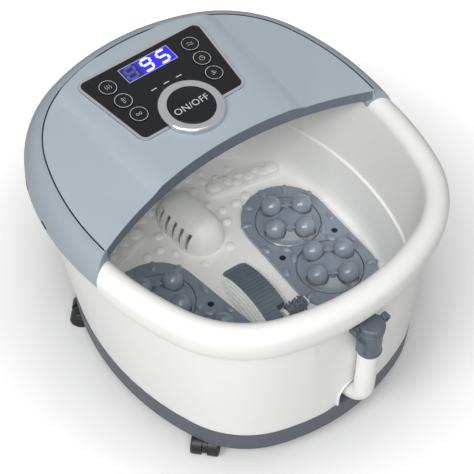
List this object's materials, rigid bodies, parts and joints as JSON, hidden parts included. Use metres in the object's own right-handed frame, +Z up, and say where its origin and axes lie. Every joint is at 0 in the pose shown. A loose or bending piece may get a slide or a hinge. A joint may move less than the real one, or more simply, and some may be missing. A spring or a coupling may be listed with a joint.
{
  "type": "foot spa basin",
  "caption": "Wheeled foot spa basin with a sloped control cover, driven ball-roller turntables, pedicure bridge, slotted intake dome and a swing-down drain pipe.",
  "frame": {"origin": "on the ground, under the middle of the bounding box", "axes": "+Z up, +X to the right of the user, -Y toward the user (front), +Y toward the control cover (back)"},
  "size_m": [0.362, 0.4048, 0.2642],
  "materials": {
    "white_gloss": "glossy",
    "cover_grey": "satin, pale blue grey",
    "band_grey": "satin",
    "fitting_grey": "satin, slate grey",
    "brush_grey": "matt, ribbed",
    "panel_black": "glossy",
    "display_blue": "lit, under a clear window",
    "chrome_trim": "polished",
    "board_green": "coated",
    "gear_ivory": "moulded",
    "motor_grey": "painted",
    "heater_steel": "brushed",
    "seal_rubber": "matt",
    "screw_steel": "dark",
    "caster_black": "moulded"
  },
  "bodies": {
    "basin": {"inner_tub": "white_gloss", "outer_shell": "white_gloss", "base_pan": "band_grey", "cover_border": "cover_grey", "cover_panel": "cover_grey", "panel_frame": "chrome_trim", "control_panel": "panel_black", "display_window": "display_blue", "control_board": "board_green", "power_bezel": "chrome_trim", "foot_plate_left": "fitting_grey", "foot_plate_right": "fitting_grey", "plate_screws": "screw_steel", "spindle_seals": "seal_rubber", "gear_motor_left": "motor_grey", "gear_motor_right": "motor_grey", "intake_dome": "white_gloss", "pedicure_bridge": "white_gloss", "pedicure_brush": "brush_grey", "heater": "heater_steel", "air_pump": "motor_grey", "main_board": "board_green", "cord_gland": "seal_rubber", "drain_spigot": "white_gloss", "drain_clip": "fitting_grey"},
    "power_key": {"power_button": "panel_black"},
    "key_1": {"button_1": "panel_black"},
    "key_2": {"button_2": "panel_black"},
    "key_3": {"button_3": "panel_black"},
    "key_4": {"button_4": "panel_black"},
    "key_5": {"button_5": "panel_black"},
    "key_6": {"button_6": "panel_black"},
    "table_rl": {"turntable_rl": "fitting_grey", "gear_rl": "gear_ivory"},
    "balls_rl_a": {"rollers_rl_a": "fitting_grey"},
    "balls_rl_b": {"rollers_rl_b": "fitting_grey"},
    "table_rr": {"turntable_rr": "fitting_grey", "gear_rr": "gear_ivory"},
    "balls_rr_a": {"rollers_rr_a": "fitting_grey"},
    "balls_rr_b": {"rollers_rr_b": "fitting_grey"},
    "table_fl": {"turntable_fl": "fitting_grey", "gear_fl": "gear_ivory"},
    "balls_fl_a": {"rollers_fl_a": "fitting_grey"},
    "balls_fl_b": {"rollers_fl_b": "fitting_grey"},
    "table_fr": {"turntable_fr": "fitting_grey", "gear_fr": "gear_ivory"},
    "balls_fr_a": {"rollers_fr_a": "fitting_grey"},
    "balls_fr_b": {"rollers_fr_b": "fitting_grey"},
    "spur": {"spur_roller": "brush_grey"},
    "drain_arm": {"drain_elbow": "white_gloss", "drain_collar": "fitting_grey"},
    "drain_stopper": {"drain_cap": "fitting_grey"},
    "fork_fl": {"caster_fl": "caster_black"},
    "roll_fl": {"wheels_fl": "caster_black"},
    "fork_fr": {"caster_fr": "caster_black"},
    "roll_fr": {"wheels_fr": "caster_black"},
    "fork_rl": {"caster_rl": "caster_black"},
    "roll_rl": {"wheels_rl": "caster_black"},
    "fork_rr": {"caster_rr": "caster_black"},
    "roll_rr": {"wheels_rr": "caster_black"}
  },
  "joints": [
    {"name": "power_press", "type": "slide", "parent": "basin", "child": "power_key", "axis": [0, 0.1045, -0.9945], "range_m": [0, 0.0015], "stiffness_N_per_m": 900},
    {"name": "key_1_press", "type": "slide", "parent": "basin", "child": "key_1", "axis": [0, 0.1045, -0.9945], "range_m": [0, 0.0008], "stiffness_N_per_m": 800},
    {"name": "key_2_press", "type": "slide", "parent": "basin", "child": "key_2", "axis": [0, 0.1045, -0.9945], "range_m": [0, 0.0008], "stiffness_N_per_m": 800},
    {"name": "key_3_press", "type": "slide", "parent": "basin", "child": "key_3", "axis": [0, 0.1045, -0.9945], "range_m": [0, 0.0008], "stiffness_N_per_m": 800},
    {"name": "key_4_press", "type": "slide", "parent": "basin", "child": "key_4", "axis": [0, 0.1045, -0.9945], "range_m": [0, 0.0008], "stiffness_N_per_m": 800},
    {"name": "key_5_press", "type": "slide", "parent": "basin", "child": "key_5", "axis": [0, 0.1045, -0.9945], "range_m": [0, 0.0008], "stiffness_N_per_m": 800},
    {"name": "key_6_press", "type": "slide", "parent": "basin", "child": "key_6", "axis": [0, 0.1045, -0.9945], "range_m": [0, 0.0008], "stiffness_N_per_m": 800},
    {"name": "table_rl_spin", "type": "hinge", "parent": "basin", "child": "table_rl", "pos_m": [-0.08422, 0.01626, 0.071], "axis": [0, 0, 1], "continuous": true},
    {"name": "balls_rl_a_roll", "type": "hinge", "parent": "table_rl", "child": "balls_rl_a", "pos_m": [-0.07806, 0.03076, 0.0835], "axis": [0.9205, -0.3907, 0], "continuous": true},
    {"name": "balls_rl_b_roll", "type": "hinge", "parent": "table_rl", "child": "balls_rl_b", "pos_m": [-0.09037, 0.00176, 0.0835], "axis": [0.9205, -0.3907, 0], "continuous": true},
    {"name": "table_rr_spin", "type": "hinge", "parent": "basin", "child": "table_rr", "pos_m": [0.08422, 0.01626, 0.071], "axis": [0, 0, 1], "continuous": true},
    {"name": "balls_rr_a_roll", "type": "hinge", "parent": "table_rr", "child": "balls_rr_a", "pos_m": [0.09279, 0.02947, 0.0835], "axis": [0.8387, -0.5446, 0], "continuous": true},
    {"name": "balls_rr_b_roll", "type": "hinge", "parent": "table_rr", "child": "balls_rr_b", "pos_m": [0.07564, 0.00305, 0.0835], "axis": [0.8387, -0.5446, 0], "continuous": true},
    {"name": "table_fl_spin", "type": "hinge", "parent": "basin", "child": "table_fl", "pos_m": [-0.07778, -0.05726, 0.071], "axis": [0, 0, 1], "continuous": true},
    {"name": "balls_fl_a_roll", "type": "hinge", "parent": "table_fl", "child": "balls_fl_a", "pos_m": [-0.07163, -0.04276, 0.0835], "axis": [0.9205, -0.3907, 0], "continuous": true},
    {"name": "balls_fl_b_roll", "type": "hinge", "parent": "table_fl", "child": "balls_fl_b", "pos_m": [-0.08394, -0.07176, 0.0835], "axis": [0.9205, -0.3907, 0], "continuous": true},
    {"name": "table_fr_spin", "type": "hinge", "parent": "basin", "child": "table_fr", "pos_m": [0.07778, -0.05726, 0.071], "axis": [0, 0, 1], "continuous": true},
    {"name": "balls_fr_a_roll", "type": "hinge", "parent": "table_fr", "child": "balls_fr_a", "pos_m": [0.08636, -0.04405, 0.0835], "axis": [0.8387, -0.5446, 0], "continuous": true},
    {"name": "balls_fr_b_roll", "type": "hinge", "parent": "table_fr", "child": "balls_fr_b", "pos_m": [0.06921, -0.07047, 0.0835], "axis": [0.8387, -0.5446, 0], "continuous": true},
    {"name": "spur_roll", "type": "hinge", "parent": "basin", "child": "spur", "pos_m": [0.0135, -0.077, 0.0805], "axis": [1, 0, 0], "continuous": true},
    {"name": "drain_swing", "type": "hinge", "parent": "basin", "child": "drain_arm", "pos_m": [0, -0.166, 0.0622], "axis": [0, 1, 0], "range_deg": [0, 100]},
    {"name": "cap_pull", "type": "slide", "parent": "drain_arm", "child": "drain_stopper", "axis": [0, 0, 1], "range_m": [0, 0.005]},
    {"name": "caster_fl_swivel", "type": "hinge", "parent": "basin", "child": "fork_fl", "pos_m": [-0.121, -0.103, 0.025], "axis": [0, 0, 1], "continuous": true},
    {"name": "wheels_fl_roll", "type": "hinge", "parent": "fork_fl", "child": "roll_fl", "pos_m": [-0.12918, -0.11036, 0.011], "axis": [0.6691, -0.7431, 0], "continuous": true},
    {"name": "caster_fr_swivel", "type": "hinge", "parent": "basin", "child": "fork_fr", "pos_m": [0.121, -0.103, 0.025], "axis": [0, 0, 1], "continuous": true},
    {"name": "wheels_fr_roll", "type": "hinge", "parent": "fork_fr", "child": "roll_fr", "pos_m": [0.12918, -0.11036, 0.011], "axis": [0.6691, 0.7431, 0], "continuous": true},
    {"name": "caster_rl_swivel", "type": "hinge", "parent": "basin", "child": "fork_rl", "pos_m": [-0.121, 0.092, 0.025], "axis": [0, 0, 1], "continuous": true},
    {"name": "wheels_rl_roll", "type": "hinge", "parent": "fork_rl", "child": "roll_rl", "pos_m": [-0.12918, 0.09936, 0.011], "axis": [-0.6691, -0.7431, 0], "continuous": true},
    {"name": "caster_rr_swivel", "type": "hinge", "parent": "basin", "child": "fork_rr", "pos_m": [0.121, 0.092, 0.025], "axis": [0, 0, 1], "continuous": true},
    {"name": "wheels_rr_roll", "type": "hinge", "parent": "fork_rr", "child": "roll_rr", "pos_m": [0.12918, 0.09936, 0.011], "axis": [-0.6691, 0.7431, 0], "continuous": true}
  ],
  "couplings": [
    {"joint": "table_fl_spin", "follows": "table_rl_spin", "ratio": -1},
    {"joint": "table_fr_spin", "follows": "table_rr_spin", "ratio": -1}
  ]
}
